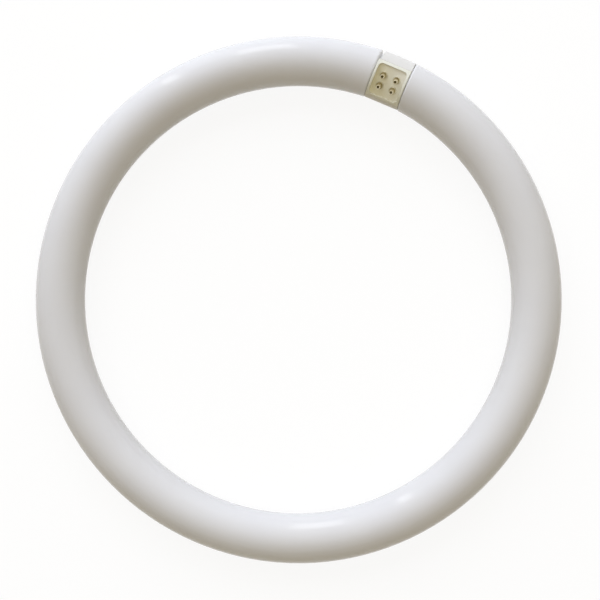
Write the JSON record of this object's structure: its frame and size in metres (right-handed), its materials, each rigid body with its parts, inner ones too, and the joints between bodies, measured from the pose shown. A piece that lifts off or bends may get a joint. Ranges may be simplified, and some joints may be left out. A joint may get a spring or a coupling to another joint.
{
  "type": "circular led tube",
  "caption": "Ring-shaped opal tube lamp, its two ends joined by a short cap with hollow contact pins in a recess.",
  "frame": {"origin": "on the ring's axis, in the plane that the ring lies on", "axes": "+Z along the ring's axis, towards the side the contact pins stand on; +Y from the axis to the cap"},
  "size_m": [0.305, 0.3048, 0.0315],
  "materials": {
    "opal_tube": "opal white, glossy outside, not see-through",
    "shell_plastic": "moulded neutral white, soft gloss",
    "insert_plastic": "moulded ivory, soft gloss",
    "pin_metal": "turned brass, lightly tarnished",
    "lead_metal": "plated drawn wire"
  },
  "bodies": {
    "root": {"opal_tube": "opal_tube", "cap_shell": "shell_plastic", "pin_insert": "insert_plastic", "contact_pin_1": "pin_metal", "contact_pin_2": "pin_metal", "contact_pin_3": "pin_metal", "contact_pin_4": "pin_metal", "lead_wire_1": "lead_metal", "lead_wire_2": "lead_metal", "lead_wire_3": "lead_metal", "lead_wire_4": "lead_metal"}
  },
  "joints": []
}
